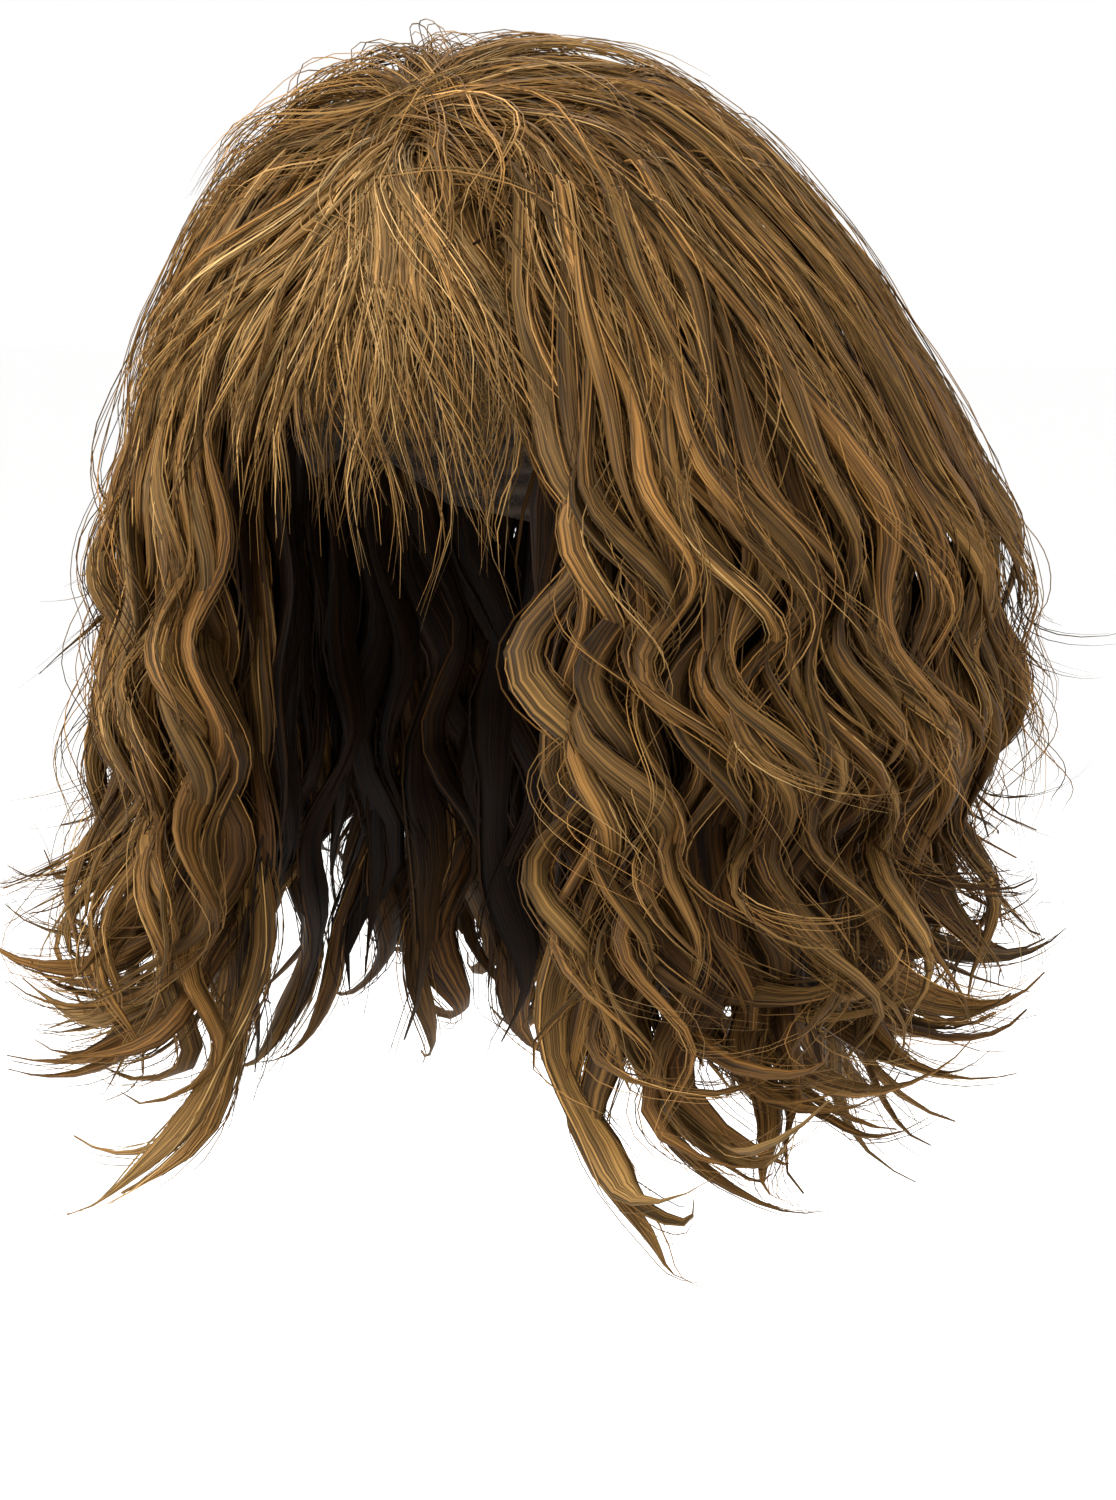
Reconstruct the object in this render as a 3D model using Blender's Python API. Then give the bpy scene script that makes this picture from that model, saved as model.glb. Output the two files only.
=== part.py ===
"""Long wavy wig: a net cap with a fringe, a crown tuft, and long layered waves at the sides and back.

Metres, +Z up. The wearer faces -Y, and the wearer's left is +X. The origin is the inner top of the cap,
where the wig sits on the head. An azimuth is 0 at the front, 90 at the wearer's left and 180 at the back.
"""

import math

import bmesh
import bpy
import numpy as np

# Cap
CAP_HALF_WIDTH = 0.077
CAP_HALF_LENGTH = 0.094
CAP_DEPTH = 0.105
CAP_WALL = 0.0015
BACKING_WALL = 0.0022
CLEARANCE = 0.0003

# Hair
WHORL_X = -0.012
WHORL_Y = -0.042
HAIR_HANG = 0.285
CROWN_LIFT = 0.036
FRONT_LIFT = 0.042
SIDE_LIFT = 0.101
LEFT_LIFT_SHARE = 0.96
BACK_LIFT = 0.054
WAVE_LENGTH = 0.072
WAVE_SWING = 0.011
WAVE_ROLL = 0.007
FLIP_OUT = 0.034
FLIP_START = 0.72
LOCK_THICKNESS = 0.013
TUFT_RADIUS = 0.034
SECTOR_GAP = 0.002

TUFT_REACH = 0.32
TUFT_RIDGES = 7
TUFT_RIDGE_HEIGHT = 0.12
TUFT_SWIRL = 1.6

# Rings along a lock, and how neighbours differ
OVER_CAP_STATIONS = (0.36, 0.44, 0.60, 0.78)
WAVE_START = 0.95
ROOT_RISE = 0.14
WAVE_GROWS_FROM = 0.72
WAVE_FULL_FROM = 1.35
WAVE_STAGGER = 1.3
WAVE_TURN = 2.0
TAPER_POWER = 4.0
TIP_SHARE = 0.14
ROOT_THINNESS = 0.45
GOLDEN = 0.618
UNEVEN_ENDS = 0.10
UNEVEN_ROOTS = 0.05
INSET_STEP = 0.10

# Height of the cap's edge below the widest level, as a share of the cap depth: negative is above it
HEM = (
    # azimuth, drop
    (0, -0.57),
    (35, -0.42),
    (60, -0.05),
    (75, 0.10),
    (95, -0.02),
    (120, 0.22),
    (180, 0.42),
)

# How far the hair's outer surface stands off the cap, as shares of the lifts above.
# The station is 0 at the whorl, 1 at the cap's widest level and 2 at the end of the longest hair.
STAND_OFF = (
    # station, front, right, left, back
    (0.35, 1.02, 0.52, 0.46, 0.88),
    (0.65, 0.86, 0.66, 0.52, 0.84),
    (0.85, 0.60, 0.75, 0.62, 0.80),
    (1.00, 0.48, 0.80, 0.80, 0.86),
    (1.17, 0.46, 0.92, 1.00, 1.00),
    (1.30, 0.44, 0.88, 1.00, 1.00),
    (1.44, 0.42, 0.88, 0.90, 0.96),
    (1.63, 0.44, 1.00, 0.97, 0.95),
    (1.82, 0.42, 0.75, 0.76, 0.86),
    (2.00, 0.38, 0.42, 0.45, 0.60),
)

# The tuft's surface from the whorl outwards and back under its edge, as shares of its reach and lift
TUFT_PROFILE = (
    # share, height
    (0.00, 0.86),
    (0.40, 0.97),
    (0.75, 1.00),
    (1.00, 0.86),
    (0.92, 0.52),
)

# Azimuths between which each part of the hair grows
SECTORS = {
    "fringe": (-36, 36),
    "left_front_hair": (36, 96),
    "left_back_hair": (96, 180),
    "right_front_hair": (-96, -36),
    "right_back_hair": (-180, -96),
}

# Rows of locks. Each row fills its azimuths evenly. Stations are those of STAND_OFF, and "inset" is 0 at
# the hair's outer surface and 1 at the backing. "reach" is a lock's width over its share of the row.
LOCK_ROWS = (
    # part, first, last, count, root, end_first, end_last, inset, reach, flip, fineness
    ("fringe", -36, 36, 7, 0.28, 0.88, 1.02, 0.10, 1.45, 0.0, 3.0),
    ("fringe", -28, 30, 3, 0.34, 0.92, 1.06, 0.45, 1.20, 0.0, 3.0),
    ("left_front_hair", 36, 96, 6, 0.28, 1.95, 1.72, 0.05, 1.60, 0.55, 4.0),
    ("left_front_hair", 37, 95, 3, 0.60, 1.86, 1.66, 0.45, 1.30, 0.40, 2.4),
    ("left_front_hair", 60, 94, 1, 0.86, 1.72, 1.70, 0.86, 1.00, 0.0, 2.4),
    ("left_back_hair", 96, 180, 7, 0.28, 1.72, 1.96, 0.05, 1.60, 0.55, 4.0),
    ("left_back_hair", 98, 178, 3, 0.60, 1.66, 1.90, 0.45, 1.30, 0.35, 2.4),
    ("left_back_hair", 98, 178, 2, 0.88, 1.80, 1.88, 0.86, 1.20, 0.0, 2.4),
    ("right_front_hair", -36, -96, 6, 0.28, 1.86, 1.68, 0.05, 1.60, 0.60, 4.0),
    ("right_front_hair", -37, -95, 3, 0.60, 1.76, 1.62, 0.45, 1.30, 0.45, 2.4),
    ("right_front_hair", -50, -94, 2, 0.86, 1.90, 1.90, 0.86, 1.00, 0.0, 2.4),
    ("right_back_hair", -96, -180, 7, 0.28, 1.70, 1.96, 0.05, 1.60, 0.50, 4.0),
    ("right_back_hair", -98, -178, 3, 0.61, 1.66, 1.90, 0.45, 1.28, 0.35, 2.4),
    ("right_back_hair", -98, -178, 2, 0.88, 1.86, 1.88, 0.86, 1.20, 0.0, 2.4),
)

COLOURS = {
    "wig_cap": (0.060, 0.040, 0.027),
    "crown_hair": (0.270, 0.150, 0.062),
    "fringe": (0.250, 0.140, 0.058),
    "left_front_hair": (0.235, 0.128, 0.052),
    "left_back_hair": (0.205, 0.110, 0.045),
    "right_front_hair": (0.220, 0.120, 0.050),
    "right_back_hair": (0.190, 0.100, 0.042),
}


def clear_scene():
    for obj in list(bpy.data.objects):
        bpy.data.objects.remove(obj, do_unlink=True)


def smoothstep(low, high, value):
    share = np.clip((value - low) / (high - low), 0.0, 1.0)
    return share * share * (3.0 - 2.0 * share)


def lift_at(azimuth, station):
    """How far the hair's outer surface stands off the cap there."""
    table = np.array(STAND_OFF)
    stations = np.concatenate([[0.0], table[:, 0]])
    sizes = (FRONT_LIFT, SIDE_LIFT, SIDE_LIFT * LEFT_LIFT_SHARE, BACK_LIFT)
    front, right, left, back = (
        np.interp(station, stations, np.concatenate([[CROWN_LIFT], table[:, column + 1] * size]))
        for column, size in enumerate(sizes)
    )
    angle = np.radians(azimuth)
    side = np.where(np.sin(angle) > 0.0, left, right)
    end = np.where(np.cos(angle) > 0.0, front, back)
    return end * np.cos(angle) ** 2 + side * np.sin(angle) ** 2


def dome_point(azimuth, station, offset):
    """A point that stands off the cap's inner face. Station 1 is the widest level, and 2 the longest tips."""
    azimuth, station, offset = np.broadcast_arrays(azimuth, station, offset)
    angle = np.radians(azimuth)
    spread = np.sin(np.clip(station, 0.0, 1.0) * math.pi / 2.0)
    half_width = CAP_HALF_WIDTH + offset
    half_length = CAP_HALF_LENGTH + offset
    x = half_width * spread * np.sin(angle) + WHORL_X * (1.0 - spread)
    y = -half_length * spread * np.cos(angle) + WHORL_Y * (1.0 - spread)
    height = np.sqrt(np.maximum(1.0 - (x / half_width) ** 2 - (y / half_length) ** 2, 0.0))
    z = (CAP_DEPTH + offset) * height - CAP_DEPTH - HAIR_HANG * np.maximum(station - 1.0, 0.0)
    return np.stack([x, y, z], axis=-1)


def hem_station(azimuth):
    """The station of the cap's edge."""
    table = np.array(HEM)
    drop = np.interp(np.abs(azimuth), table[:, 0], table[:, 1])
    above = np.arccos(np.clip(-drop, 0.0, 1.0)) * 2.0 / math.pi
    below = 1.0 + drop * CAP_DEPTH / HAIR_HANG
    return np.where(drop < 0.0, above, below)


def travel(station):
    """Length of hair from the whorl to a station."""
    over_cap = CAP_DEPTH * math.pi / 2.0
    return np.minimum(station, 1.0) * over_cap + np.maximum(station - 1.0, 0.0) * HAIR_HANG


def wave_shift(azimuth, station):
    """Sideways and outward shifts that turn straight hair into waves."""
    angle = np.radians(azimuth)
    growth = smoothstep(WAVE_GROWS_FROM, WAVE_FULL_FROM, station)
    phase = 2.0 * math.pi * travel(station) / WAVE_LENGTH
    phase = phase + WAVE_STAGGER * np.sin(2.0 * angle) + WAVE_TURN * angle
    return WAVE_SWING * growth * np.sin(phase), WAVE_ROLL * growth * np.cos(phase)


def hair_point(azimuth, station, inset, flip=0.0):
    """A point in the hair: inset 0 is its outer surface and 1 the middle of the backing."""
    backing = CAP_WALL + CLEARANCE + BACKING_WALL / 2.0
    offset = backing + (lift_at(azimuth, station) - backing) * (1.0 - inset)
    point = dome_point(azimuth, station, offset)
    angle = np.radians(azimuth)
    zero = np.zeros_like(angle)
    sideways = np.stack([np.cos(angle), np.sin(angle), zero], axis=-1)
    outward = np.stack([np.sin(angle), -np.cos(angle), zero], axis=-1)
    swing, roll = wave_shift(azimuth, station)
    return point + sideways * swing[..., None] + outward * (roll + flip)[..., None]


def unit(vectors):
    return vectors / np.linalg.norm(vectors, axis=-1, keepdims=True)


def mesh_object(name, points, faces):
    mesh = bpy.data.meshes.new(name)
    mesh.from_pydata([tuple(point) for point in points], [], faces)
    turned = bmesh.new()
    turned.from_mesh(mesh)
    bmesh.ops.remove_doubles(turned, verts=turned.verts, dist=1e-6)
    bmesh.ops.triangulate(turned, faces=turned.faces)
    bmesh.ops.recalc_face_normals(turned, faces=turned.faces)
    turned.to_mesh(mesh)
    turned.free()
    obj = bpy.data.objects.new(name, mesh)
    bpy.context.scene.collection.objects.link(obj)
    return obj


def shell(name, azimuths, stations, inner, outer, whole_turn):
    """A wall between two offsets from the cap. It has a row of stations for each azimuth."""
    count, columns = stations.shape
    grid = np.repeat(np.array(azimuths)[:, None], columns, axis=1)
    points = np.concatenate([dome_point(grid, stations, offset).reshape(-1, 3) for offset in (inner, outer)])

    def at(layer, row, column):
        return (layer * count + row % count) * columns + column

    faces = []
    for row in range(count if whole_turn else count - 1):
        for column in range(columns - 1):
            for layer in (0, 1):
                faces.append([at(layer, row, column), at(layer, row + 1, column),
                              at(layer, row + 1, column + 1), at(layer, row, column + 1)])
        for column in (columns - 1,) if stations[row, 0] == 0.0 else (0, columns - 1):
            faces.append([at(0, row, column), at(1, row, column),
                          at(1, row + 1, column), at(0, row + 1, column)])
    if not whole_turn:
        for column in range(columns - 1):
            for row in (0, count - 1):
                faces.append([at(0, row, column), at(1, row, column),
                              at(1, row, column + 1), at(0, row, column + 1)])
    return mesh_object(name, points, faces)


def lock(name, azimuth, half_angle, root, end, inset, flip, fineness):
    """A tapered lock with a lens-shaped section, from its root in the backing to its tip."""
    grid = np.concatenate([OVER_CAP_STATIONS, WAVE_START + np.arange(99) * wave_step(fineness)])
    apart = wave_step(fineness) * 0.4
    stations = np.array([root, *grid[(grid > root + 0.03) & (grid < end - apart)], end])
    share = (stations - root) / (end - root)
    rise = smoothstep(0.0, ROOT_RISE, stations - root)
    insets = 1.0 - (1.0 - inset) * rise
    curl = FLIP_OUT * flip * smoothstep(FLIP_START, 1.0, share)
    taper = 1.0 - (1.0 - TIP_SHARE) * share ** TAPER_POWER

    def along_lock(turn):
        return hair_point(azimuth + turn, stations, insets, curl)

    centres = along_lock(np.zeros_like(stations))
    per_degree = np.linalg.norm(along_lock(np.ones_like(stations)) - centres, axis=-1)
    half = np.maximum(half_angle * taper - SECTOR_GAP / 2.0 / per_degree, half_angle * TIP_SHARE / 2.0)
    left, right = along_lock(half), along_lock(-half)
    ahead = hair_point(np.full_like(stations, azimuth), stations + 1e-4, insets, curl)
    outward = unit(np.cross(unit(left - right), unit(ahead - centres)))
    thick = outward * (LOCK_THICKNESS / 2.0 * (ROOT_THINNESS + (1.0 - ROOT_THINNESS) * rise) * taper)[:, None]
    points = np.stack([left, centres + thick, right, centres - thick], axis=1).reshape(-1, 3)
    sides = 4
    last = (len(stations) - 1) * sides
    faces = [
        [ring + side, ring + sides + side, ring + sides + (side + 1) % sides, ring + (side + 1) % sides]
        for ring in range(0, last, sides) for side in range(sides)
    ]
    faces.append(list(range(sides)))
    faces.append([last + side for side in range(sides)])
    return mesh_object(name, points, faces)


def wave_step(fineness):
    """Stations from ring to ring, for so many rings in a wave."""
    return WAVE_LENGTH / HAIR_HANG / fineness


def helper(obj):
    obj.hide_render = True
    obj.display_type = "WIRE"
    return obj


def boolean(obj, operation, other):
    modifier = obj.modifiers.new(operation.title(), "BOOLEAN")
    modifier.operation = operation
    modifier.solver = "EXACT"
    modifier.use_self = operation == "UNION"
    if isinstance(other, bpy.types.Collection):
        modifier.operand_type = "COLLECTION"
        modifier.collection = other
    else:
        modifier.object = other


def material(name):
    made = bpy.data.materials.new(name)
    made.use_nodes = True
    shader = made.node_tree.nodes["Principled BSDF"]
    shader.inputs["Base Color"].default_value = (*COLOURS[name], 1.0)
    shader.inputs["Roughness"].default_value = 0.75 if name == "wig_cap" else 0.42
    shader.inputs["Metallic"].default_value = 0.0
    return made


def finish(obj):
    obj.data.materials.append(material(obj.name))
    obj.data.shade_smooth()
    return obj


def cap_grid():
    azimuths = np.arange(-180.0, 180.0, 15.0)
    return azimuths, np.stack([np.linspace(0.0, hem_station(azimuth), 7) for azimuth in azimuths])


def build_cap():
    azimuths, stations = cap_grid()
    return finish(shell("wig_cap", azimuths, stations, 0.0, CAP_WALL, True))


def head_room():
    """Everything inside the gap round the cap, which the hair stays out of. Its faces match the cap's."""
    azimuths, stations = cap_grid()
    lowest = 1.0 + max(drop for _, drop in HEM) * CAP_DEPTH / HAIR_HANG
    widest = np.full((len(azimuths), 1), 1.0)
    stations = np.hstack([stations, np.maximum(stations[:, -1:] + 0.02, widest), widest * lowest + 0.02])
    count, columns = stations.shape
    grid = np.repeat(azimuths[:, None], columns, axis=1)
    points = dome_point(grid, stations, CAP_WALL + CLEARANCE).reshape(-1, 3)
    faces = [
        [row * columns + column, (row + 1) % count * columns + column,
         (row + 1) % count * columns + column + 1, row * columns + column + 1]
        for row in range(count) for column in range(columns - 1)
    ]
    faces.append([row * columns + columns - 1 for row in range(count)])
    return helper(mesh_object("head_room", points, faces))


def backing(name, first, last):
    """The sector of weft that a part's locks are sewn to."""
    top = math.asin(TUFT_RADIUS / CAP_HALF_LENGTH) * 2.0 / math.pi
    margin = math.degrees(SECTOR_GAP / 2.0 / TUFT_RADIUS)
    azimuths = np.linspace(first + margin, last - margin, max(3, round((last - first) / 14.0)) + 1)
    stations = np.stack([np.linspace(top, hem_station(azimuth) - 0.02, 5) for azimuth in azimuths])
    inner = CAP_WALL + CLEARANCE
    return shell(name, azimuths, stations, inner, inner + BACKING_WALL, False)


def build_tuft(room):
    """The short teased hair that rises round the whorl, in ridges that swirl outwards."""
    azimuths = np.linspace(-180.0, 180.0, TUFT_RIDGES * 4, endpoint=False)
    seat = CAP_WALL + CLEARANCE
    edge = math.asin((TUFT_RADIUS - SECTOR_GAP) / CAP_HALF_LENGTH) * 2.0 / math.pi
    rings = []
    for share, height in TUFT_PROFILE:
        station = TUFT_REACH * share
        ridge = np.cos(np.radians(azimuths * TUFT_RIDGES) + TUFT_SWIRL * share)
        lift = CROWN_LIFT * height * (1.0 + TUFT_RIDGE_HEIGHT * ridge * share)
        rings.append(dome_point(azimuths, station, np.maximum(lift, seat + BACKING_WALL)))
    rings.append(dome_point(azimuths, edge, seat + BACKING_WALL))
    rings.append(dome_point(azimuths, edge, 0.0))
    rings.append(dome_point(azimuths, 0.0, 0.0))
    count = len(azimuths)
    faces = [
        [ring * count + place, ring * count + (place + 1) % count,
         (ring + 1) * count + (place + 1) % count, (ring + 1) * count + place]
        for ring in range(len(rings) - 1) for place in range(count)
    ]
    tuft = mesh_object("crown_hair", np.concatenate(rings), faces)
    boolean(tuft, "DIFFERENCE", room)
    return finish(tuft)


def row_of_locks(name, made, first, last, row):
    """One row of a part's locks. Each keeps inside the part's azimuths."""
    _, start, stop, count, root, end_first, end_last, inset, reach, flip, fineness = row
    low, high = min(start, stop), max(start, stop)
    pitch = (high - low) / count
    for index in range(count):
        place = index if start < stop else count - 1 - index
        centre = low + (place + 0.5) * pitch
        half = min(pitch / 2.0 * reach, centre - first, last - centre)
        uneven = ((made + index) * GOLDEN) % 1.0
        end = end_first + (end_last - end_first) * index / max(count - 1, 1) + (uneven - 0.5) * UNEVEN_ENDS
        depth = inset + INSET_STEP * (index % 2 + 0.3 * uneven)
        yield lock(f"{name}_lock_{made + index}", centre, half, root + UNEVEN_ROOTS * uneven, end,
                   depth, flip, fineness)


def build_part(name, room):
    first, last = SECTORS[name]
    part = backing(name, first, last)
    locks = bpy.data.collections.new(name + "_locks")
    bpy.context.scene.collection.children.link(locks)
    for row in LOCK_ROWS:
        if row[0] != name:
            continue
        for piece in row_of_locks(name, len(locks.objects), first, last, row):
            bpy.context.scene.collection.objects.unlink(piece)
            locks.objects.link(helper(piece))
    boolean(part, "UNION", locks)
    boolean(part, "DIFFERENCE", room)
    return finish(part)


def main():
    clear_scene()
    build_cap()
    room = head_room()
    build_tuft(room)
    for name in SECTORS:
        build_part(name, room)


main()
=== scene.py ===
"""Looks of the long wavy wig: each part of the hair as locks of strands, on its net cap.

Metres, +Z up, in the CAD frame. An azimuth is in degrees: 0 at the front, 90 at the wearer's left and 180 at the
back. A station is 0 at the whorl, 1 at the cap's widest level and about 2 at the lowest tips.
"""

import math

import bpy
import numpy as np
from mathutils import Matrix, Vector


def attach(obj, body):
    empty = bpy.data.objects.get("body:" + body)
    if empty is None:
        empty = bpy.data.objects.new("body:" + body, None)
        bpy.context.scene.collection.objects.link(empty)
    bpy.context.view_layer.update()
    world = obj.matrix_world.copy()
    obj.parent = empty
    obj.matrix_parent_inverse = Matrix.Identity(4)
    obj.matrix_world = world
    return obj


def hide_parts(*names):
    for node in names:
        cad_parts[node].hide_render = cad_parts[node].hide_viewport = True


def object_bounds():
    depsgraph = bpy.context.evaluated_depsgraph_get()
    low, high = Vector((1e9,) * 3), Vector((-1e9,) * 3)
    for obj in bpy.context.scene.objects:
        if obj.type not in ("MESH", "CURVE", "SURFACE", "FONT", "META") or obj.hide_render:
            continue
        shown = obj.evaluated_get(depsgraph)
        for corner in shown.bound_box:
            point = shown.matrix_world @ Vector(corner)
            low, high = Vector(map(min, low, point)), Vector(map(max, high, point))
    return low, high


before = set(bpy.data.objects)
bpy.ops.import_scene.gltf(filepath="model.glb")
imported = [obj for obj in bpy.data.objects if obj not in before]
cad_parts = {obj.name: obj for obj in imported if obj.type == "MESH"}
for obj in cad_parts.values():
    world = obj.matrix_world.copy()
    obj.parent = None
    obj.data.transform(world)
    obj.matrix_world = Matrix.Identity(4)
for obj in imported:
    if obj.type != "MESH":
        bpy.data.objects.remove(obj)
cad_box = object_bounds()

# Sizes that the CAD source has too. Only STAND_OFF has two higher values here, for the back at 1.00 and at 1.82.
CAP_HALF_WIDTH = 0.077
CAP_HALF_LENGTH = 0.094
CAP_DEPTH = 0.105
WHORL_X = -0.012
WHORL_Y = -0.042
HAIR_HANG = 0.285
CROWN_LIFT = 0.036
FRONT_LIFT = 0.042
SIDE_LIFT = 0.101
LEFT_LIFT_SHARE = 0.96
BACK_LIFT = 0.054
WAVE_LENGTH = 0.072
WAVE_SWING = 0.011
WAVE_ROLL = 0.007
ROOT_RISE = 0.14
WAVE_GROWS_FROM = 0.72
WAVE_FULL_FROM = 1.35
WAVE_STAGGER = 1.3
WAVE_TURN = 2.0
STAND_OFF = (
    # station, front, right, left, back
    (0.35, 1.02, 0.52, 0.46, 0.88),
    (0.65, 0.86, 0.66, 0.52, 0.84),
    (0.85, 0.60, 0.75, 0.62, 0.80),
    (1.00, 0.48, 0.80, 0.80, 0.92),
    (1.17, 0.46, 0.92, 1.00, 1.00),
    (1.30, 0.44, 0.88, 1.00, 1.00),
    (1.44, 0.42, 0.88, 0.90, 0.96),
    (1.63, 0.44, 1.00, 0.97, 0.95),
    (1.82, 0.42, 0.75, 0.76, 0.92),
    (2.00, 0.38, 0.42, 0.45, 0.60),
)

# How far from the cap's inner face the deepest hair lies
BACKING = 0.0029

# Layers of locks. A piece's first row is wide locks that cover the cap, dark as painted shade under the hair, and
# the next ones go from the inside out.
#   count, first, last   how many locks, spread evenly from the first azimuth to the last
#   root                 the station where they start
#   end_first, end_last  the stations where the first and the last of them end
#   gather               how far their roots are pulled towards the azimuth HUB
#   sprout               how deep they start: 0 is the hair's outer surface and 1 is the backing
#   inset, inset_tip     how deep they run, first along the lock and then at its tip
#   wide, thick          a lock's width and thickness, in millimetres
#   wave                 how much of the full wave they have
#   flip, bend           how many radians a tip turns outwards, over how many millimetres of its length
#   toward               the azimuth that the tips turn to, or None for each one's own
#   tone                 their place on COLOUR_RAMP, mostly lower on the deeper rows as painted shade
#   strands, strand      how many strands wrap a lock, and a strand's width in millimetres
#   rings                how many rings each tube has
#   core                 how much of a lock's length its solid body has, or 0 for no body
COLUMNS = (
    "count", "first", "last", "root", "end_first", "end_last", "gather", "sprout", "inset", "inset_tip",
    "wide", "thick", "wave", "flip", "bend", "toward", "tone", "strands", "strand", "rings", "core",
)
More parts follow.
